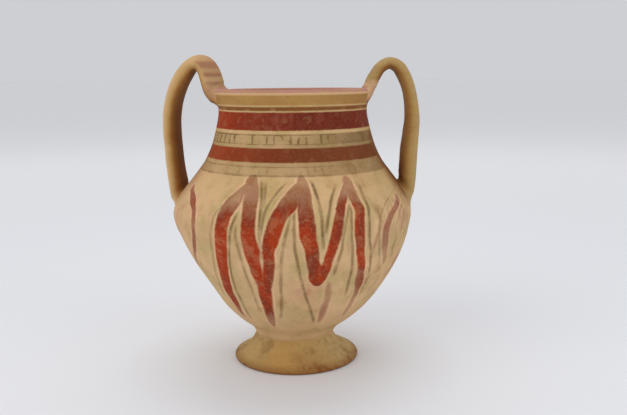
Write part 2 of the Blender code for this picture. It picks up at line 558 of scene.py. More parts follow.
@dataclass(frozen=True)
class WheelProfile:
    """The thrown wall's sizes and the free form between them."""

    rim_height: float = 0.177
    lip_radius: float = 0.0493
    lip_rounding: float = 0.0016
    neck_drop: float = 0.014
    neck_radius: float = 0.0473
    belly_height: float = 0.0985
    belly_radius: float = 0.0772
    stem_height: float = 0.0165
    stem_radius: float = 0.0253
    foot_radius: float = 0.0411
    foot_edge: float = 0.0027
    wall: float = 0.005
    floor_height: float = 0.024
    rest_ring: float = 0.0075
    recess_depth: float = 0.0145
    neck_to_lip: tuple[Point, ...] = ((0.45, 0.35),)
    neck_to_belly: tuple[Point, ...] = (
        (0.15, 0.060), (0.32, 0.163), (0.48, 0.322), (0.62, 0.543), (0.76, 0.775), (0.88, 0.935),
    )
    belly_to_stem: tuple[Point, ...] = (
        (0.16, 0.062), (0.36, 0.195), (0.56, 0.385), (0.72, 0.560), (0.84, 0.750), (0.93, 0.930),
    )
    stem_to_foot: tuple[Point, ...] = ((0.42, 0.200), (0.74, 0.540))
    recess_to_axis: tuple[Point, ...] = ((0.35, 0.09), (0.80, 0.46), (0.97, 0.73))
    ring_spacing: float = 0.00135
    trim_below_rim: float = 0.0015

    def wall_line(self) -> list[Point]:
        """The outside of the wall from the lip's side down to the stem.

        Returns:
            Its points, as radius and height.
        """
        neck = (self.neck_radius, self.rim_height - self.neck_drop)
        belly, stem = (self.belly_radius, self.belly_height), (self.stem_radius, self.stem_height)
        rows = [(self.lip_radius, self.rim_height - self.lip_rounding)]
        rows += between(neck, (self.lip_radius, self.rim_height), self.neck_to_lip)
        rows += [neck, *between(neck, belly, self.neck_to_belly)]
        rows += [belly, *between(belly, stem, self.belly_to_stem), stem]
        return smooth_through(rows, 10)

    def inset(self, depth: float) -> list[Point]:
        """The wall's line moved inwards, from under the lip to above the floor.

        Args:
            depth: How far it is moved.

        Returns:
            The moved line.
        """
        line = self.wall_line()
        moved = []
        for before, here, after in zip(line, line[1:], line[2:]):
            if here[1] > self.rim_height - 0.003 or here[1] < self.floor_height + 0.007:
                continue
            across, up = after[0] - before[0], after[1] - before[1]
            length = math.hypot(across, up)
            moved.append((here[0] + depth * up / length, here[1] - depth * across / length))
        return moved

    def floor_line(self, start: Point, before: Point, height: float) -> list[Point]:
        """A smooth bend from the inner wall's foot to the middle of the floor.

        Args:
            start: The inner wall's last point.
            before: The point above it.
            height: How high the middle of the floor is.

        Returns:
            The bend.
        """
        lean = (start[0] - before[0]) / (start[1] - before[1])
        knee = (start[0] + (height - start[1]) * lean, height)
        bend = []
        for step in range(1, 25):
            t = step / 24
            radius = (1 - t) ** 2 * start[0] + 2 * t * (1 - t) * knee[0]
            bend.append((radius, (1 - t) ** 2 * start[1] + 2 * t * (1 - t) * knee[1] + t**2 * height))
        return bend

    def underside(self) -> list[Point]:
        """The hollow under the foot and the ring that the cup stands on.

        Returns:
            Its line from the axis outwards.
        """
        inner = self.foot_radius - self.rest_ring
        rows = [(inner, 0.0004), *between((inner, 0.0), (0.0, self.recess_depth), self.recess_to_axis)]
        rows.append((0.0, self.recess_depth))
        hollow = evenly_spaced(smooth_through(rows, 8)[::-1], self.ring_spacing * 1.4)
        ring = evenly_spaced([(inner + 0.0006, 0.0), (self.foot_radius - 0.0012, 0.0)], 0.002)
        return hollow + ring

    def foot_side(self) -> list[Point]:
        """The foot's rounded edge and its spreading top.

        Returns:
            Its line up to the stem.
        """
        edge = self.foot_edge / 2
        rounded = arc((self.foot_radius - edge, edge), edge, -80.0, 55.0, 6)
        stem = (self.stem_radius, self.stem_height)
        rows = [stem, *between(stem, (self.foot_radius, self.foot_edge), self.stem_to_foot), rounded[-1]]
        return rounded + evenly_spaced(smooth_through(rows, 8)[::-1], self.ring_spacing)[1:]

    def whole(self) -> list[Point]:
        """The closed wall: underside, foot, outside, lip, inside and floor.

        Returns:
            Its line from axis to axis.
        """
        outside = evenly_spaced(self.wall_line()[::-1], self.ring_spacing)[1:-1]
        turn, top = self.lip_rounding, self.rim_height
        lip = arc((self.lip_radius - turn, top - turn), turn, 0.0, 90.0, 5)
        inner, turn = self.lip_radius - self.wall, turn * 1.2
        lip += arc((inner + turn, top - turn), turn, 90.0, 180.0, 5)
        inside = evenly_spaced(self.inset(self.wall), self.ring_spacing * 1.6)
        bend = self.floor_line(inside[-1], inside[-2], self.floor_height)
        return self.underside() + self.foot_side() + outside + lip + inside + bend

    def core(self) -> list[Point]:
        """A solid whose side runs in the middle of the wall, which trims the straps' hidden ends.

        Returns:
            Its line from axis to axis.
        """
        side = evenly_spaced(self.inset(self.wall * 0.6), 0.004)
        top = self.rim_height - self.trim_below_rim
        return [(0.0, top), (side[0][0], top), *side, (0.0, side[-1][1])]


@dataclass
class ThrownBody:
    """A closed wall turned from a profile, with the unevenness of a hand-driven wheel."""

    steps: int = 260
    ridge_depth: float = 0.00022
    waver: float = 0.0009
    lean: tuple[Point, ...] = (
        (0.0, 0.0004), (0.006, 0.0), (0.011, -0.0007), (0.015, -0.0007), (0.022, 0.0), (0.040, 0.0010),
        (0.054, 0.0017), (0.066, 0.0013), (0.085, 0.0002), (0.099, -0.0008), (0.108, -0.0004), (0.125, 0.0),
        (0.18, 0.0),
    )
    lean_top: float = 0.18
    lean_range: float = 0.004

    def tree(self) -> bpy.types.NodeTree:
        """The geometry nodes that turn a profile's points about the upright axis.

        Returns:
            The tree, with its named inputs.
        """
        kinds = {"Profile": "Geometry", "Steps": "Int", "Ridge Depth": "Float", "Waver": "Float", "Lean": "Float"}
        sheet, given = geometry_sheet("turn_on_wheel", {**kinds, "Clay": "Material"})
        profile, steps = given["Profile"], given["Steps"]
        mesh, column, ring = sheet.grid(steps + 1.0, sheet.points_in(profile))
        taken = sheet.sample(profile, sheet.out(sheet.add("GeometryNodeInputPosition")), ring)
        radius, height = sheet.part(taken, Axis.ACROSS), sheet.part(taken, Axis.UP)
        angle = column / steps * (2.0 * math.pi)
        east, north = angle.maths("COSINE"), angle.maths("SINE")
        ridges = sheet.noise(sheet.place(east * 0.25, north * 0.25, height * 230.0), 1.0, 2.0, 0.55) - 0.5
        slow = sheet.noise(sheet.place(east * 1.1 + 3.0, north * 1.1, height * 14.0), 1.0, 1.0) - 0.5
        uneven = (ridges * given["Ridge Depth"] + slow * given["Waver"]) * height.rising(0.001, 0.006)
        moved = radius + uneven * radius.rising(0.002, 0.02)
        table = [(h / self.lean_top, 0.5 + shift / self.lean_range) for h, shift in self.lean]
        shift = (sheet.curve(height / self.lean_top, table) - 0.5) * self.lean_range * given["Lean"]
        placed = sheet.place(moved * east + shift, moved * north, height)
        shaped = sheet.add("GeometryNodeSetPosition", {}, {"Geometry": mesh, "Position": placed})
        sheet.close(sheet.out(shaped), given["Clay"])
        return sheet.tree

    def throw(
        self, name: str, line: list[Point], steps: int, even: bool, clay: bpy.types.Material
    ) -> bpy.types.Object:
        """Turn one profile.

        Args:
            name: The new object's name.
            line: The profile from axis to axis, as radius and height.
            steps: How many facets a turn has.
            even: Whether the wall is left perfectly even.
            clay: The material that it wears.

        Returns:
            The turned object, a plain closed mesh.
        """
        obj = line_object(name, line)
        uneven = {"Ridge Depth": self.ridge_depth, "Waver": self.waver, "Lean": 1.0}
        values = {label: 0.0 if even else value for label, value in uneven.items()}
        shape_by(obj, self.tree(), {"Steps": steps, **values, "Clay": clay})
        return obj


@dataclass(frozen=True)
class StrapHandle:
    """A pulled strap: rows of reach, height, width and thickness in millimetres, and twist in degrees."""

    name: str
    azimuth: float
    rows: tuple[tuple[float, float, float, float, float], ...]
    corners: int = 30
    squareness: float = 2.5
    lumps: float = 0.0007

    def tree(self) -> bpy.types.NodeTree:
        """The geometry nodes that lay a rounded strip along the points of a path.

        Returns:
            The tree, with its named inputs.
        """
        kinds = {"Path": "Geometry", "Corners": "Int", "Squareness": "Float", "Lumps": "Float", "Azimuth": "Float"}
        sheet, given = geometry_sheet("pull_strap", {**kinds, "Clay": "Material"})
        path, corners = given["Path"], given["Corners"]
        mesh, station, corner = sheet.grid(sheet.points_in(path), corners + 1.0)
        turn = corner / corners * (2.0 * math.pi)
        spot = sheet.out(sheet.add("GeometryNodeInputPosition"))
        named = sheet.add("GeometryNodeInputNamedAttribute", {"data_type": "FLOAT_VECTOR"}, {"Name": "gauge"})
        middle, gauges = sheet.sample(path, spot, station), sheet.sample(path, sheet.out(named), station)
        ahead, behind = sheet.sample(path, spot, station + 1.0), sheet.sample(path, spot, station - 1.0)
        along = sheet.vector("NORMALIZE", sheet.vector("SUBTRACT", ahead, behind))
        flat = (0.0, 1.0, 0.0)
        normal = sheet.vector("CROSS_PRODUCT", along, flat)
        twist = sheet.part(gauges, Axis.UP)
        power = 2.0 / given["Squareness"].most(0.1)
        cos, sin = turn.maths("COSINE"), turn.maths("SINE")
        deep = cos.maths("SIGN") * abs(cos) ** power * sheet.part(gauges, Axis.DEEP) * 0.5
        wide = sin.maths("SIGN") * abs(sin) ** power * sheet.part(gauges, Axis.ACROSS) * 0.5
        twist_cos, twist_sin = twist.maths("COSINE"), twist.maths("SINE")
        off_normal = sheet.vector("SCALE", normal, scale=deep * twist_cos - wide * twist_sin)
        off_flat = sheet.vector("SCALE", flat, scale=deep * twist_sin + wide * twist_cos)
        offset = sheet.vector("ADD", off_normal, off_flat)
        skin = sheet.vector("ADD", middle, offset)
        lump = (sheet.noise(skin, 95.0, 2.0) - 0.5) * given["Lumps"]
        bumped = sheet.vector("ADD", skin, sheet.vector("SCALE", sheet.vector("NORMALIZE", offset), scale=lump))
        steps = (
            ("GeometryNodeStoreNamedAttribute", {"Name": "strap_face", "Value": cos}),
            ("GeometryNodeSetPosition", {"Position": bumped}),
            ("GeometryNodeTransform", {"Rotation": sheet.place(0.0, 0.0, given["Azimuth"])}),
        )
        for kind, values in steps:
            mesh = sheet.out(sheet.add(kind, {}, {"Geometry": mesh, **values}))
        sheet.close(mesh, given["Clay"])
        return sheet.tree

    def pull(self, clay: bpy.types.Material) -> bpy.types.Object:
        """Make the strap.

        Args:
            clay: The material that it wears.

        Returns:
            The strap, a plain closed mesh whose ends are hidden in the wall.
        """
        rows = [(*(value / 1000.0 for value in row[:4]), math.radians(row[4])) for row in self.rows]
        rows = smooth_through(rows, 9)
        rows = [(*rows[0][:2], 0.0, 0.0, rows[0][4]), *rows, (*rows[-1][:2], 0.0, 0.0, rows[-1][4])]
        obj = line_object(self.name, [row[:2] for row in rows])
        gauge = obj.data.attributes.new("gauge", "FLOAT_VECTOR", "POINT")
        for value, row in zip(gauge.data, rows):
            value.vector = row[2:]
        values = {"Corners": self.corners, "Squareness": self.squareness, "Lumps": self.lumps, "Clay": clay}
        shape_by(obj, self.tree(), {**values, "Azimuth": math.radians(self.azimuth)})
        return obj


LEFT_HANDLE = StrapHandle("left_strap", 171.0, (
    (42.0, 169.5, 25.0, 11.0, 8.0), (47.5, 172.5, 24.5, 10.5, 10.0), (51.4, 177.5, 23.5, 9.4, 13.0),
    (53.3, 183.8, 22.5, 8.8, 15.0), (55.2, 189.2, 22.0, 8.5, 15.0), (59.0, 193.6, 21.5, 8.4, 13.0),
    (64.7, 193.6, 21.5, 9.2, 10.0), (70.5, 187.8, 22.0, 10.3, 6.0), (75.4, 179.6, 22.5, 10.2, 3.0),
    (78.8, 170.3, 22.5, 9.8, 2.0), (80.6, 161.0, 22.5, 9.7, 2.0), (81.0, 149.9, 22.5, 9.7, 2.0),
    (80.3, 137.3, 22.5, 9.7, 2.0), (79.6, 127.0, 23.0, 9.8, 2.0), (78.2, 116.6, 24.5, 10.2, 2.0),
    (75.8, 106.5, 27.5, 11.0, 2.0), (70.5, 97.0, 31.0, 12.0, 2.0),
))

RIGHT_HANDLE = StrapHandle("right_strap", 1.0, (
    (41.0, 168.5, 24.5, 10.0, 0.0), (46.0, 171.8, 24.0, 9.2, 0.0), (49.6, 178.6, 23.0, 8.0, 0.0),
    (53.0, 185.3, 22.0, 7.3, 0.0), (56.7, 190.2, 21.5, 7.2, 0.0), (62.1, 192.6, 21.5, 7.4, 0.0),
    (67.5, 190.3, 21.5, 8.0, 0.0), (71.1, 185.2, 22.0, 8.2, 0.0), (73.9, 178.6, 22.0, 8.0, 0.0),
    (75.6, 171.5, 22.5, 8.0, 0.0), (76.6, 163.5, 22.5, 8.6, 0.0), (76.8, 155.5, 22.5, 9.3, 0.0),
    (76.1, 147.0, 22.5, 10.0, 0.0), (75.1, 138.0, 22.5, 10.6, 0.0), (74.6, 127.7, 23.0, 10.8, 0.0),
    (73.8, 117.2, 24.5, 10.8, 0.0), (71.8, 107.3, 27.5, 11.2, 0.0), (67.5, 98.0, 31.0, 12.0, 0.0),
))


@dataclass(frozen=True)
class BroadStroke:
    """A stroke of red paint: rows of height in mm, angle in degrees, half its width in mm, and freshness."""

    rows: tuple[tuple[float, float, float, float], ...]
    soft: float = 0.75


@dataclass(frozen=True)
class LinerStroke:
    """A thin olive line: rows of height in mm and angle in degrees, and how dark it is."""

    rows: tuple[Point, ...]
    darkness: float = 0.6


BROAD_STROKES = (
    BroadStroke((
        (128, -21.5, -1, 0.3), (124, -22.7, 2.2, 0.35), (117, -27.2, 4.3, 0.28), (113, -28.6, 5.4, 0.38),
        (107, -30.4, 4.9, 0.7), (101, -31.1, 4.5, 0.9), (89, -33.1, 4.6, 1.0), (82, -34.8, 4.3, 1.0),
        (73, -37.0, 4.0, 0.95), (64, -39.7, 4.0, 0.85), (55, -42.8, 3.9, 0.75), (48, -42.9, 3.0, 0.65),
        (40, -43.7, 1.9, 0.5), (35, -44.0, -1, 0.4),
    )),
    BroadStroke((
        (129, -21.7, -1, 0.3), (126, -21.7, 3.5, 0.3), (121, -20.3, 4.4, 0.35), (114, -19.3, 4.6, 0.48),
        (108, -18.7, 4.3, 0.6), (102, -18.4, 4.3, 0.8), (95, -18.4, 4.6, 0.95), (88, -18.0, 5.0, 1.0),
        (80, -17.8, 4.1, 0.95), (72, -17.3, 3.8, 0.85), (65, -15.6, 4.1, 0.85), (56, -15.8, 4.2, 0.9),
        (47, -16.4, 3.2, 0.85), (40, -17.0, 2.7, 0.5), (34, -17.6, 1.8, 0.35), (31, -17.8, -1, 0.3),
    )),
    BroadStroke((
        (129, 6.5, -1, 0.25), (125, 6.0, 2.9, 0.3), (121, 3.6, 5.1, 0.4), (116, -0.2, 5.4, 0.5),
        (112, -1.9, 5.9, 0.65), (106, -5.4, 5.1, 0.8), (99, -7.3, 4.8, 0.8), (92, -9.0, 4.6, 0.9),
        (86, -10.2, 3.4, 0.95), (79, -10.4, 3.5, 0.8), (72, -11.6, 3.6, 0.75), (64, -13.9, 3.7, 0.8),
        (58, -15.0, 2.0, 0.8), (54, -15.5, -1, 0.7),
    )),
    BroadStroke((
        (129, 5.7, -1, 0.25), (126, 5.7, 2.6, 0.25), (121, 6.6, 3.4, 0.4), (115, 6.6, 4.0, 0.55),
        (109, 6.6, 4.5, 0.62), (102, 7.0, 4.8, 0.8), (95, 7.3, 4.7, 1.0), (88, 8.9, 4.2, 0.95),
        (80, 9.9, 3.9, 0.8), (74, 11.4, 4.4, 0.75), (68, 12.1, 4.2, 0.9), (65.5, 12.9, 3.2, 0.8),
        (63.5, 13.0, -1, 0.5),
    )),
    BroadStroke((
        (127.5, 31.0, -1, 0.25), (124, 30.8, 2.0, 0.3), (119, 27.6, 2.9, 0.4), (113, 24.0, 2.9, 0.65),
        (107, 21.7, 3.1, 0.75), (100, 20.1, 3.3, 0.8), (93, 19.2, 3.4, 0.8), (87, 18.0, 3.2, 0.85),
        (81, 17.0, 3.0, 0.85), (74, 15.7, 3.3, 0.7), (68, 14.4, 2.7, 0.6), (64, 13.8, -1, 0.4),
    )),
    BroadStroke((
        (127.5, 31.3, -1, 0.25), (124, 31.4, 3.0, 0.3), (119, 31.2, 3.4, 0.35), (114, 31.6, 3.4, 0.45),
        (110, 32.3, 3.6, 0.75), (103, 31.1, 3.4, 0.8), (96, 31.0, 3.5, 0.7), (88, 32.4, 3.1, 0.6),
        (84, 33.0, 3.0, 0.8), (79, 34.4, 2.9, 1.0), (73, 35.8, 3.0, 0.9), (70, 36.4, 2.8, 0.55),
        (64, 37.7, 3.3, 0.6), (56, 39.4, 2.0, 0.4), (49, 40.1, 2.0, 0.25), (40, 40.7, 1.6, 0.2),
        (36, 41.0, -1, 0.1),
    )),
    BroadStroke((
        (114, 64.0, -1, 0.3), (110, 61.5, 3.2, 0.35), (106, 55.8, 4.4, 0.45), (102, 50.3, 3.8, 0.45),
        (97, 47.7, 3.3, 0.5), (89, 47.8, 3.0, 0.45), (81, 49.7, 2.6, 0.3), (74, 52.4, 1.6, 0.2),
        (70, 53.0, -1, 0.1),
    ), 1.5),
    BroadStroke((
        (120, -66.0, -1, 0.4), (117, -64.0, 3.2, 0.45), (114, -58.7, 4.4, 0.58), (110, -54.3, 3.6, 0.58),
        (106, -50.5, 2.3, 0.5), (95, -49.3, 2.0, 0.5), (84, -54.5, 2.3, 0.5), (74, -62.3, 2.6, 0.35),
        (68, -66.0, -1, 0.2),
    ), 0.9),
    BroadStroke((
        (66, 19.0, -1, 0.2), (63, 19.4, 1.6, 0.3), (54, 20.5, 2.0, 0.3), (47, 20.1, 2.3, 0.35),
        (38, 20.4, 1.7, 0.3), (34, 20.4, -1, 0.2),
    ), 1.6),
)

LINER_STROKES = (
    LinerStroke((
        (120, -26.4), (116, -30.4), (111, -33.7), (107, -35.8), (101, -36.6), (91, -38.5), (80, -41.2), (70, -44.4),
        (59, -49.2), (50, -53.0),
    ), 0.35),
    LinerStroke((
        (108, -24.4), (103, -25.6), (97, -26.8), (89, -28.6), (81, -30.4), (74, -32.0), (67, -33.3), (60, -34.6),
        (52, -35.4), (45, -36.0), (37, -36.4),
    ), 0.7),
    LinerStroke((
        (101, -24.0), (93, -24.4), (86, -24.0), (78, -23.9), (70, -23.6), (62, -23.3), (53, -23.5), (45, -23.6),
    ), 0.5),
    LinerStroke((
        (125, -15.9), (116, -14.0), (108, -13.5), (100, -13.4), (91, -13.7), (83, -13.8), (75, -14.2),
    ), 0.7),
    LinerStroke(((124, -3.1), (120, -6.4), (115, -9.5), (110, -11.3), (104, -12.1), (96, -12.7)), 0.6),
    LinerStroke(((125, -13.6), (118, -12.7), (112, -12.6)), 0.5),
    LinerStroke((
        (113, 1.0), (109, -0.1), (103, -0.9), (97, -2.2), (89, -3.5), (82, -4.5), (73, -5.2), (62, -6.1),
        (51, -7.0), (40, -9.1),
    ), 0.55),
    LinerStroke((
        (112, 1.9), (106, 1.4), (97, 1.3), (89, 1.6), (82, 2.5), (74, 3.6), (66, 5.0), (57, 7.3), (48, 10.5),
        (36, 15.5),
    ), 0.65),
    LinerStroke((
        (125, 10.8), (120, 12.1), (113, 13.0), (107, 13.3), (101, 13.3), (94, 13.6), (88, 14.3),
    ), 0.8),
    LinerStroke(((121, 22.5), (115, 19.2), (109, 17.2), (104, 15.9), (97, 14.8)), 0.75),
    LinerStroke(((112, 27.6), (107, 25.4), (101, 23.6), (94, 22.8), (87, 22.9), (79, 21.8), (71, 20.9)), 0.6),
    LinerStroke((
        (111, 28.3), (106, 27.4), (98, 26.9), (90, 27.7), (82, 28.9), (74, 30.1), (65, 30.6), (55, 32.1),
    ), 0.6),
    LinerStroke((
        (121, 37.8), (116, 37.2), (110, 37.5), (104, 36.5), (95, 36.5), (86, 38.2), (77, 40.6), (68, 42.6),
    ), 0.7),
    LinerStroke(((113, 56.3), (109, 48.5), (104, 43.9), (97, 42.3), (88, 43.6), (78, 46.6)), 0.45),
    LinerStroke(((109, 67.3), (103, 59.4), (97, 55.7), (89, 56.6), (79, 57.6)), 0.35),
)


class Place:
    """Where a spot of clay lies on the cup, in mm and degrees, and the noises that its colours share."""

    def __init__(self, sheet: NodeSheet, profile: WheelProfile) -> None:
        """Work out where the spot lies.

        Args:
            sheet: The material's nodes.
            profile: The thrown wall.
        """
        self.sheet = sheet
        self.spot = sheet.out(sheet.add("ShaderNodeTexCoord"), "Object")
        self.x, y = sheet.part(self.spot, Axis.ACROSS), sheet.part(self.spot, Axis.DEEP)
        self.height = sheet.part(self.spot, Axis.UP) * 1000.0
        self.radius = (self.x * self.x + y * y).maths("SQRT") * 1000.0
        side = y.maths("LESS_THAN", 0.0) * 2.0 - 1.0
        self.angle = (self.x * side).maths("ARCTAN2", abs(y)) * (180.0 / math.pi)
        self.front, self.right = y.rising(0.004, -0.004), self.x.rising(-0.01, 0.01)
        self.foot = self.height.rising(19.5, 15.5)
        line = sorted(profile.wall_line()[::5], key=lambda point: point[1])
        wall = sheet.curve(self.height / 200.0, [(z * 5.0, r * 10.0) for r, z in line]) * 100.0
        self.stand_off = self.radius - wall
        loops = self.stand_off.rising(0.7, 2.2).most(self.height.rising(177.4, 179.0))
        self.strap = (loops * self.height.rising(60.0, 80.0)).most(sheet.mark("strap_clay"))
        self.face = sheet.mark("strap_face")
        self.coarse = sheet.noise(self.spot, 38.0, 3.0, 0.6)
        self.middling = sheet.noise(self.spot, 150.0, 3.0, 0.6)
        self.fine = sheet.noise(self.spot, 620.0, 3.0, 0.65)
        self.smudges = sheet.noise(self.spot, (150.0, 26.0), 3.0, 0.6)
        self.wobble = (self.middling - 0.5) * 1.4 + (self.fine - 0.5) * 0.9

    def beside(self, middle: Signal) -> Signal:
        """How many mm round from a line the spot lies, with the line's angle as a share of half a turn."""
        return (self.angle - (middle * 180.0 - 90.0)) * self.radius * (math.pi / 180.0)


@dataclass(frozen=True)
class PaintedClay:
    """The cup's finish: ochre clay, a pale slip on neck and body, and worn paint on the slip.

    Heights are in mm. A ladder line is its height, half its width and how dark it is.
    """

    clay: Colour = Colour(186, 147, 84)
    clay_dark: Colour = Colour(150, 104, 54)
    umber: Colour = Colour(124, 72, 28)
    slip: Colour = Colour(214, 178, 132)
    slip_warm: Colour = Colour(206, 156, 118)
    slip_olive: Colour = Colour(192, 166, 114)
    peach: Colour = Colour(234, 192, 152)
    faded: Colour = Colour(146, 84, 66)
    maroon: Colour = Colour(134, 49, 22)
    deep_maroon: Colour = Colour(110, 38, 18)
    red: Colour = Colour(168, 52, 6)
    rust: Colour = Colour(150, 88, 40)
    olive: Colour = Colour(100, 72, 32)
    pink: Colour = Colour(184, 130, 124)
    roughness: float = 0.82
    profile: WheelProfile = WheelProfile()
    upper_band: Point = (153.4, 164.0)
    lower_band: Point = (135.3, 143.4)
    upper_rungs: Point = (145.4, 150.8)
    lower_rungs: Point = (128.4, 132.6)
    ladder_lines: tuple[tuple[float, float, float], ...] = (
        (150.9, 0.5, 0.8), (145.5, 0.4, 0.75), (132.9, 0.5, 0.65), (128.2, 0.6, 0.6),
    )
    under_lip: Point = (164.9, 167.2)
    rim_side: Point = (168.0, 174.4)
    strap_bars: tuple[Point, ...] = ((185.0, 187.6), (179.8, 182.0))
    stroke_base: float = 30.0
    stroke_span: float = 100.0

    def material(self) -> bpy.types.Material:
        """Build the material.

        Returns:
            The finish, which reads only the object's own coordinates and the marks on its points.
        """
        material = bpy.data.materials.new("painted_clay")
        material.use_nodes = True
        sheet = NodeSheet(material.node_tree)
        at = Place(sheet, self.profile)
        height, bare = at.height, 1.0 - at.strap
        cover, painted = self.strokes(at, self.worn_slip(at))
        outside = at.stand_off.rising(-3.2, -2.4) * bare
        slipped = outside * (1.0 - at.foot) * height.rising(168.6, 167.6)
        # A pale peach band just under the lip's top, as painted highlight.
        edge = height.within(174.0, 175.6, 0.5) * at.stand_off.rising(-2.0, -1.0) * bare
        lip = height.rising(174.9, 175.9) * bare
        # Umber on the shoulder's sides beside the straps' lower roots, stronger on the right: painted shade.
        root = abs(at.angle).rising(62.0, 80.0) * height.within(107.0, 150.0, 7.0) * outside
        streaks = sheet.noise(at.spot, (40.0, 700.0), 2.0, 0.6)
        grime = streaks.rising(0.55, 0.8) * 0.08 + at.fine.rising(0.6, 0.78) * 0.3
        colour = sheet.coats(self.bare_clay(at), (
            (slipped, self.neck_bands(at, painted)),
            # Painted highlight under the lip's top.
            (edge * 0.55, self.peach),
            (lip * (at.middling.rising(0.28, 0.6) * 0.5 + 0.35), self.pink),
            # Painted shade beside the strap roots.
            (root * (at.right * 0.55 + 0.45), self.umber),
        ))
        grain = at.fine * 0.5 + sheet.noise(at.spot, 1500.0, 2.0) * 0.25 + streaks * 0.45
        grain = grain + at.middling * 0.5 - cover * 0.12
        bump = sheet.add("ShaderNodeBump", {}, {"Strength": 0.35, "Distance": 0.0006, "Height": grain})
        sheet.feed(material.node_tree.nodes["Principled BSDF"], {
            "Base Color": sheet.blend(grime, colour, self.clay_dark, "MULTIPLY"),
            "Normal": sheet.out(bump),
            "Roughness": self.roughness - cover * 0.08 + (at.fine - 0.5) * 0.12,
            "Metallic": 0.0,
            "Specular IOR Level": 0.2,
        })
        LOG.info("finish painted_clay: %d nodes", len(material.node_tree.nodes))
        return material

    def worn_slip(self, at: Place) -> Signal:
        """The pale slip with smudges, runs, blotches, painted bounce light low down and painted shade on the right.

        Args:
            at: The place.

        Returns:
            Its colour.
        """
        height, angle = at.height, at.angle
        warm, blotches = at.sheet.noise(at.spot, 26.0, 4.0, 0.65), at.sheet.noise(at.spot, 72.0, 4.0, 0.68)
        runs = at.sheet.noise(at.spot, (360.0, 24.0), 2.0, 0.5)
        smudged = at.smudges.rising(0.5, 0.72) * height.within(55.0, 127.0, 7.0)
        worn_side = height.within(48.0, 114.0, 6.0) * (angle.rising(18.0, 50.0) * 0.2 + 0.06)
        return at.sheet.coats(self.slip, (
            (at.coarse.rising(0.42, 0.66), self.slip_olive),
            (warm.rising(0.5, 0.72) * 0.7, self.slip_warm),
            (smudged * (angle.rising(12.0, 44.0) * 0.42 + 0.14), self.faded),
            (runs.rising(0.5, 0.68) * worn_side, self.rust),
            (runs.rising(0.46, 0.32) * worn_side, self.peach),
            # Paler slip low on the body, as painted bounce light from the floor.
            (height.rising(62.0, 30.0) * 0.5, self.slip),
            # Olive towards the right of the front, as painted shade.
            (angle.rising(15.0, 62.0) * at.front * 0.13, self.olive),
            (height.rising(100.0, 128.0) * 0.25, self.clay),
            (blotches.rising(0.54, 0.74) * 0.34, self.rust),
            (blotches.rising(0.46, 0.26) * 0.4, self.peach),
        ))

    def bare_clay(self, at: Place) -> Signal:
        """The clay without slip: straps with a thin slip coat, painted light and painted shade, rim, foot and inside.

        Args:
            at: The place.

        Returns:
            Its colour.
        """
        height, radius, strap, right, face = at.height, at.radius, at.strap, at.right, at.face
        drift = at.sheet.noise(at.spot, (34.0, 90.0), 4.0, 0.6)
        stains = at.sheet.noise(at.spot, 75.0, 4.0, 0.7).rising(0.5, 0.68)
        high = height.rising(183.0, 192.0)
        crown = high * right
        # Outward strap faces are paler with slip: partly a thin slip coat, partly painted light.
        slip_film_and_light = face.rising(-0.3, 0.5) * strap * (0.78 - right * 0.2 + crown * 0.15 - high * 0.2)
        limb = strap * radius.rising(62.0, 66.0)
        turned = face - radius.rising(70.0, 62.0) * 0.35 - crown * 0.25
        # Painted shade: umber on faces looking into the loop and under the right strap's top.
        shade = turned.rising(-0.4, -0.95) * strap * (0.92 - height.rising(140.0, 196.0) * 0.25)
        upper_right = right * radius.rising(60.0, 68.0) * height.rising(118.0, 145.0)
        joint = height.within(170.0, 181.5, 2.5) * strap * radius.rising(60.0, 56.0)
        # The rim's side is darkened a little all round, and more towards the right as painted shade.
        rim = height.within(*self.rim_side, 0.6) * (1.0 - strap)
        # Slip olive on the foot: in patches as slip, and on its sides as painted light.
        foot_slip_and_light = at.coarse.rising(0.35, 0.65) * 0.3 + abs(at.angle).rising(15.0, 60.0) * 0.5
        return at.sheet.coats(self.clay, (
            (drift.rising(0.38, 0.7) * 0.62, self.clay_dark),
            (at.fine.rising(0.5, 0.75) * 0.3, self.clay_dark),
            # Painted light and slip on the straps' outward faces.
            (slip_film_and_light, at.sheet.blend(right, self.slip, self.slip_olive)),
            (strap * right * 0.2, self.olive),
            # Rust-brown where the faces turn into the loop, partly paint and partly painted shade.
            (face.within(-0.75, -0.25, 0.28) * limb * (0.62 - right * 0.3), self.rust),
            # Painted shade on faces looking into the loop, less on the upper right strap.
            (shade * (1.0 - upper_right * 0.6), self.umber),
            (joint * (right * 0.45 + 0.15), self.peach),
            (joint * (1.0 - right) * 0.35, self.faded),
            # Rim side darker, more towards the right as painted shade.
            (rim * (at.angle.rising(0.0, 55.0) * 0.3 + 0.22), self.clay_dark),
            (self.bars(at) * strap, self.faded),
            # Slip patches on the foot, and painted light on its sides.
            (at.foot * foot_slip_and_light, self.slip_olive),
            # Darker towards the very bottom of the foot, and stains on the foot.
            (height.rising(5.5, 1.0) * 0.75 + at.foot * stains * 0.45, self.umber),
        ))

    def bars(self, at: Place) -> Signal:
        """The greyish bars across the rim end of the left strap.

        Args:
            at: The place.

        Returns:
            How much grey there is.
        """
        level = at.height + at.wobble
        bars = level.within(190.5, 195.0, 1.2)
        for low, high in self.strap_bars:
            bars = bars.most(level.within(low, high, 1.0))
        bars = (bars * 0.4 + at.height.rising(180.0, 186.0) * 0.25) * (at.x * 1000.0).within(-62.0, -44.0, 3.0)
        return bars * at.face.rising(0.1, 0.5)

    def drawn(self, rows: list[tuple[float, ...]], column: int, least: float, span: float) -> list[Point]:
        """One number of a stroke's rows as a curve, with what the curve's 0 stands for and how much more its 1 does."""
        base, height = self.stroke_base, self.stroke_span
        return [((row[0] - base) / height, (row[column] - least) / span) for row in rows]

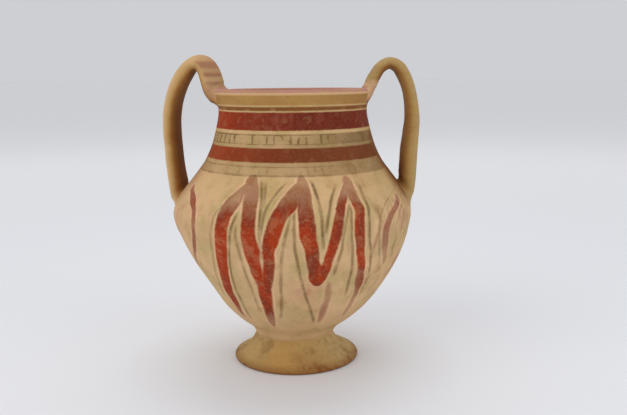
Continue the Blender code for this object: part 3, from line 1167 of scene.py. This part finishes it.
    def strokes(self, at: Place, slip: Signal) -> tuple[Signal, Signal]:
        """Paint the thin lines and the broad red strokes.

        Args:
            at: The place.
            slip: The colour below them.

        Returns:
            How much red paint there is, and the colour that is seen.
        """
        share = (at.height - self.stroke_base) / self.stroke_span
        covers, tones, reaches = [], [], []
        for stroke in BROAD_STROKES:
            rows = sorted(stroke.rows)
            columns = ((1, -90.0, 180.0), (2, -2.0, 12.0), (3, 0.0, 1.0))
            middle, half, fresh = at.sheet.three_curves(share, [self.drawn(rows, *column) for column in columns])
            inside = half * 12.0 - 2.0 - abs(at.beside(middle)) + at.wobble * 0.85
            covers.append(inside.rising(-stroke.soft, stroke.soft))
            tones.append(inside.rising(-2.4, -1.8) * fresh)
            reaches.append(inside)
        cover, tone, reach = (reduce(Signal.most, parts) for parts in (covers, tones, reaches))
        outline = reach.rising(-1.9, -0.9) * reach.rising(0.4, -0.4) * at.smudges.rising(0.32, 0.66)
        patches = at.sheet.noise(at.spot, (120.0, 50.0), 3.0, 0.6)
        mottled = tone + (patches - 0.5) + (at.smudges - 0.5) * 0.9
        maroon, red = mottled.rising(0.3, 0.66), mottled.rising(0.62, 1.02)
        wear = at.fine.rising(0.34, 0.52) * 0.13 + at.middling.rising(0.32, 0.5) * 0.16 + 0.71
        body_of_paint = (tone * 1.08 + 0.26).least(1.0) * wear * (at.front * 0.15 + 0.85)
        return cover, at.sheet.coats(slip, (
            (self.liner(at) * (at.front * 0.5 + 0.46), self.olive),
            (outline * (at.front * 0.35 + 0.3), self.peach),
            (cover * body_of_paint, at.sheet.coats(self.faded, ((maroon, self.maroon), (red, self.red)))),
        ))

    def liner(self, at: Place) -> Signal:
        """The thin olive lines beside and between the strokes.

        Args:
            at: The place.

        Returns:
            How much olive there is.
        """
        share = (at.height - self.stroke_base) / self.stroke_span
        lines = []
        for start in range(0, len(LINER_STROKES), 3):
            group = LINER_STROKES[start : start + 3]
            curves = [self.drawn(sorted(stroke.rows), 1, -90.0, 180.0) for stroke in group]
            for stroke, middle in zip(group, at.sheet.three_curves(share, curves)):
                apart = abs(at.beside(middle) + at.wobble * 0.35)
                ends = at.height.within(min(stroke.rows)[0], max(stroke.rows)[0], 2.0)
                lines.append(apart.rising(1.55, 0.35) * ends * stroke.darkness)
        return reduce(Signal.most, lines) * (at.middling.rising(0.3, 0.58) * 0.6 + 0.4)

    def neck_bands(self, at: Place, ground: Signal) -> Signal:
        """Paint the two red bands round the neck, the ladders beside them and the line under the lip.

        Args:
            at: The place.
            ground: The colour below them.

        Returns:
            The colour that is seen.
        """
        angle, coarse, middling, fine = at.angle, at.coarse, at.middling, at.fine
        level = at.height + at.wobble * 0.45
        upper, lower = level.within(*self.upper_band, 0.45), level.within(*self.lower_band, 0.45)
        orange = (angle * -1.0).rising(-10.0, 75.0) * 0.75 + lower * 0.25 + (coarse - 0.5) * 0.9
        rubbed = (coarse * 0.4 + at.smudges * 0.3 + middling * 0.3).rising(0.5, 0.66)
        wear = fine.rising(0.3, 0.5) * 0.07 + middling.rising(0.32, 0.48) * 0.12 + 0.81
        swing = angle + at.wobble * 1.3 + (coarse - 0.5) * 9.0
        fresh = (coarse * 0.5 + middling * 0.5).rising(0.36, 0.56)
        rungs = abs(swing / 5.3 % 1.0 - 0.5).rising(0.22, 0.42) * (fresh * 0.75 + 0.15)
        ladder = rungs * level.within(*self.upper_rungs, 0.5) * 0.95
        rungs = abs(swing / 4.6 % 1.0 - 0.5).rising(0.24, 0.44) * (fresh * 0.6 + 0.15)
        ladder = ladder.most(rungs * level.within(*self.lower_rungs, 0.5) * 0.9)
        for middle, half, dark in self.ladder_lines:
            ladder = ladder.most(level.within(middle - half, middle + half, 0.3) * dark)
        # Olive tint over the neck between the bands: dirt all round, stronger towards the right as painted shade.
        wash_and_shade = level.within(127.6, 151.4, 0.6) * (angle.rising(-30.0, 60.0) * 0.24 + 0.24)
        wash_and_shade = wash_and_shade + level.within(145.2, 151.2, 0.5) * angle.rising(0.0, 50.0) * 0.24
        drawn = (ladder * (middling.rising(0.3, 0.6) * 0.45 + 0.5)).most(wash_and_shade * (middling * 0.8 + 0.6))
        under_lip = (at.height + at.wobble * 0.3).within(*self.under_lip, 0.45)
        red = at.sheet.coats(self.deep_maroon, ((orange * 0.85, self.red), (rubbed * 0.6, self.faded)))
        return at.sheet.coats(ground, (
            (upper.most(lower) * wear, red),
            (drawn, self.olive),
            (under_lip * (middling.rising(0.25, 0.5) * 0.25 + 0.7), self.umber),
        ))


@dataclass
class DrinkingCup:
    """The whole cup as one piece of fired clay."""

    profile: WheelProfile = field(default_factory=WheelProfile)
    body: ThrownBody = field(default_factory=ThrownBody)
    handles: tuple[StrapHandle, ...] = (LEFT_HANDLE, RIGHT_HANDLE)
    finish: PaintedClay = field(default_factory=PaintedClay)
    seam: float = 0.0042
    mark_reach: float = 0.0016
    mark_from: float = 0.09
    mark_depth: float = 0.0012
    evening_rounds: int = 8
    wiping_rounds: int = 16
    core_steps: int = 120

    def build(self) -> bpy.types.Object:
        """Throw the body, lute the straps on, soften the seams and dress the cup.

        Returns:
            The finished cup.
        """
        clay = self.finish.material()
        cup = self.body.throw("painted_cup", self.profile.whole(), self.body.steps, False, clay)
        skin = self.tree_of(cup)
        straps = []
        for handle in self.handles:
            strap = handle.pull(clay)
            straps.append((self.tree_of(strap), self.face_values(strap.data)))
            core = self.body.throw("core", self.profile.core(), self.core_steps, True, clay)
            work_in(strap, core, Joining.CUT_AWAY)
            surface = self.tree_of(strap)
            work_in(cup, strap, Joining.LUTED_ON)
            self.soften(cup, skin, surface)
            LOG.info("strap %s luted on: %d faces so far", handle.name, len(cup.data.polygons))
        self.finish_mesh(cup)
        self.mark_straps(cup.data, straps)
        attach(cup, "root")
        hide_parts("cup")
        LOG.info("painted_cup: %d triangles", sum(len(p.vertices) - 2 for p in cup.data.polygons))
        return cup

    def tree_of(self, obj: bpy.types.Object) -> BVHTree:
        """A search tree of an object's surface."""
        mesh = obj.data
        return BVHTree.FromPolygons([v.co.copy() for v in mesh.vertices], [tuple(p.vertices) for p in mesh.polygons])

    def face_values(self, mesh: bpy.types.Mesh) -> list[float]:
        """How far each face of a strap looks out of the loop (1) or into it (-1)."""
        points = [item.value for item in mesh.attributes["strap_face"].data]
        return [sum(points[v] for v in face.vertices) / len(face.vertices) for face in mesh.polygons]

    def mark_straps(self, mesh: bpy.types.Mesh, straps: list[tuple[BVHTree, list[float]]]) -> None:
        """Note on the cup's points which of them are strap, and which way they look.

        Args:
            mesh: The cup's mesh.
            straps: The surface and the faces' values of each strap as it was pulled.
        """
        wall = sorted((z, r) for r, z in self.profile.wall_line())
        heights = [z for z, _ in wall]
        mesh.attributes.remove(mesh.attributes["strap_face"])
        for name in ("strap_clay", "strap_face"):
            mesh.attributes.new(name, "FLOAT", "POINT")
        clay, look = mesh.attributes["strap_clay"], mesh.attributes["strap_face"]
        for index, vertex in enumerate(mesh.vertices):
            place = vertex.co
            level = wall[min(bisect.bisect_left(heights, place.z), len(wall) - 1)][1]
            if place.z < self.mark_from or math.hypot(place.x, place.y) < level - self.mark_depth:
                continue
            for surface, values in straps:
                found = surface.find_nearest(place, self.mark_reach)
                if found[0] is not None:
                    clay.data[index].value = min(1.0, 1.5 * (1.0 - found[3] / self.mark_reach))
                    look.data[index].value = values[found[2]]
        marked = [item.value > 0.0 for item in clay.data]
        look.data.foreach_set("value", self.evened(mesh, [item.value for item in look.data], marked))

    def evened(self, mesh: bpy.types.Mesh, values: list[float], marked: list[bool]) -> list[float]:
        """Average the marked points' values with their neighbours', so that no step shows between them.

        Args:
            mesh: The cup's mesh.
            values: One value for each point.
            marked: Which points take part.

        Returns:
            The evened values.
        """
        pairs = [(a, b) for a, b in (edge.vertices for edge in mesh.edges) if marked[a] and marked[b]]
        for _ in range(self.evening_rounds):
            total, count = [2.0 * value for value in values], [2.0] * len(values)
            for a, b in pairs:
                total[a] += values[b]
                total[b] += values[a]
                count[a] += 1.0
                count[b] += 1.0
            values = [part / share for part, share in zip(total, count)]
        return values

    def soften(self, cup: bpy.types.Object, skin: BVHTree, strap: BVHTree) -> None:
        """Wipe the clay smooth where a strap meets the wall.

        Args:
            cup: The joined cup.
            skin: The wall's surface before the join.
            strap: The strap's surface before the join.
        """
        shape = bmesh.new()
        shape.from_mesh(cup.data)
        near = []
        for vertex in shape.verts:
            to_strap = strap.find_nearest(vertex.co, self.seam)[3]
            if to_strap is not None and skin.find_nearest(vertex.co, self.seam)[3] is not None:
                near.append(vertex)
        for _ in range(self.wiping_rounds):
            bmesh.ops.smooth_vert(shape, verts=near, factor=0.5, use_axis_x=True, use_axis_y=True, use_axis_z=True)
        shape.to_mesh(cup.data)
        shape.free()

    def finish_mesh(self, cup: bpy.types.Object) -> None:
        """Leave a clean, smooth-shaded mesh.

        Args:
            cup: The joined cup.
        """
        shape = bmesh.new()
        shape.from_mesh(cup.data)
        bmesh.ops.remove_doubles(shape, verts=shape.verts, dist=1e-5)
        bmesh.ops.dissolve_degenerate(shape, edges=shape.edges, dist=1e-6)
        bmesh.ops.triangulate(shape, faces=[face for face in shape.faces if len(face.verts) > 4])
        bmesh.ops.recalc_face_normals(shape, faces=shape.faces)
        for face in shape.faces:
            face.smooth = True
        shape.to_mesh(cup.data)
        shape.free()


@dataclass(frozen=True)
class Softbox:
    """One square soft light aimed at the cup, with its side in metres and its power in watts."""

    name: str
    place: tuple[float, float, float]
    side: float
    power: float
    tint: tuple[float, float, float] = (1.0, 1.0, 1.0)
    aim: tuple[float, float, float] = (0.0, 0.0, 0.1)

    def hang(self) -> None:
        """Put the light into the scene."""
        lamp = bpy.data.lights.new(self.name, "AREA")
        lamp.shape = "SQUARE"
        lamp.size = self.side
        lamp.energy = self.power
        lamp.color = self.tint
        obj = new_object(self.name, lamp)
        obj.location = self.place
        obj.rotation_euler = (Vector(self.aim) - Vector(self.place)).to_track_quat("-Z", "Y").to_euler()


@dataclass(frozen=True)
class Studio:
    """A pale floor, lighter further out as painted light, soft lights, and the camera."""

    lamps: tuple[Softbox, ...] = (
        Softbox("key", (-0.9, -0.75, 0.95), 1.1, 5.7, (1.0, 0.985, 0.96)),
        Softbox("fill", (0.9, -0.5, 0.35), 0.7, 2.0),
        Softbox("top", (0.05, 0.5, 1.3), 1.0, 4.6),
    )
    air: tuple[float, float, float, float] = (0.615, 0.623, 0.648, 1.0)
    image_width: int = 627
    focal_pixels: float = 775.0
    sensor_width: float = 36.0
    camera_place: tuple[float, float, float] = (0.0128, -0.502, 0.1845)
    pitch: float = 9.58
    roll: float = -0.55
    floor_reach: float = 40.0
    floor_light_fade: Point = (0.45, 1.5)
    floor_near: Colour = Colour(230, 231, 234)
    floor_far_painted_light: Colour = Colour(254, 254, 254)

    def build(self) -> None:
        """Set up the floor, the lights, the air's light and the camera."""
        self.floor()
        for lamp in self.lamps:
            lamp.hang()
        world = bpy.data.worlds.new("air")
        world.use_nodes = True
        NodeSheet(world.node_tree).feed(world.node_tree.nodes["Background"], {"Color": self.air, "Strength": 1.0})
        scene = bpy.context.scene
        scene.world = world
        scene.view_settings.view_transform = "Standard"
        self.camera()
        LOG.info("studio ready")

    def floor(self) -> None:
        """Lay a wide pale floor under the cup, lighter further out as painted light."""
        mesh = bpy.data.meshes.new("floor")
        corners = ((-1.0, -1.0), (1.0, -1.0), (1.0, 1.0), (-1.0, 1.0))
        mesh.from_pydata([(x * self.floor_reach, y * self.floor_reach, 0.0) for x, y in corners], [], [(0, 1, 2, 3)])
        floor = new_object("floor", mesh)
        material = bpy.data.materials.new("pale_floor")
        material.use_nodes = True
        sheet = NodeSheet(material.node_tree)
        spot = sheet.out(sheet.add("ShaderNodeTexCoord"), "Object")
        away = sheet.out(sheet.add("ShaderNodeVectorMath", {"operation": "LENGTH"}, {0: spot}), "Value")
        # The floor's colour fades lighter with distance, as painted light where the lamps' light falls off.
        shade = sheet.blend(away.rising(*self.floor_light_fade), self.floor_near, self.floor_far_painted_light)
        sheet.feed(material.node_tree.nodes["Principled BSDF"], {"Base Color": shade, "Roughness": 0.6})
        mesh.materials.append(material)

    def camera(self) -> None:
        """Set the camera at the photograph's angle."""
        data = bpy.data.cameras.new("camera")
        data.sensor_fit = "HORIZONTAL"
        data.sensor_width = self.sensor_width
        data.lens = self.focal_pixels * self.sensor_width / self.image_width
        data.clip_start = 0.01
        obj = new_object("camera", data)
        raised = Matrix.Rotation(math.radians(90.0 - self.pitch), 4, "X")
        turned = raised @ Matrix.Rotation(math.radians(self.roll), 4, "Z")
        obj.matrix_world = Matrix.Translation(self.camera_place) @ turned
        bpy.context.scene.camera = obj


def main() -> None:
    """Build the studio and the cup."""
    logging.basicConfig(level=logging.INFO, format="%(name)s: %(message)s")
    Studio().build()
    DrinkingCup().build()


if __name__ == "__main__":
    main()
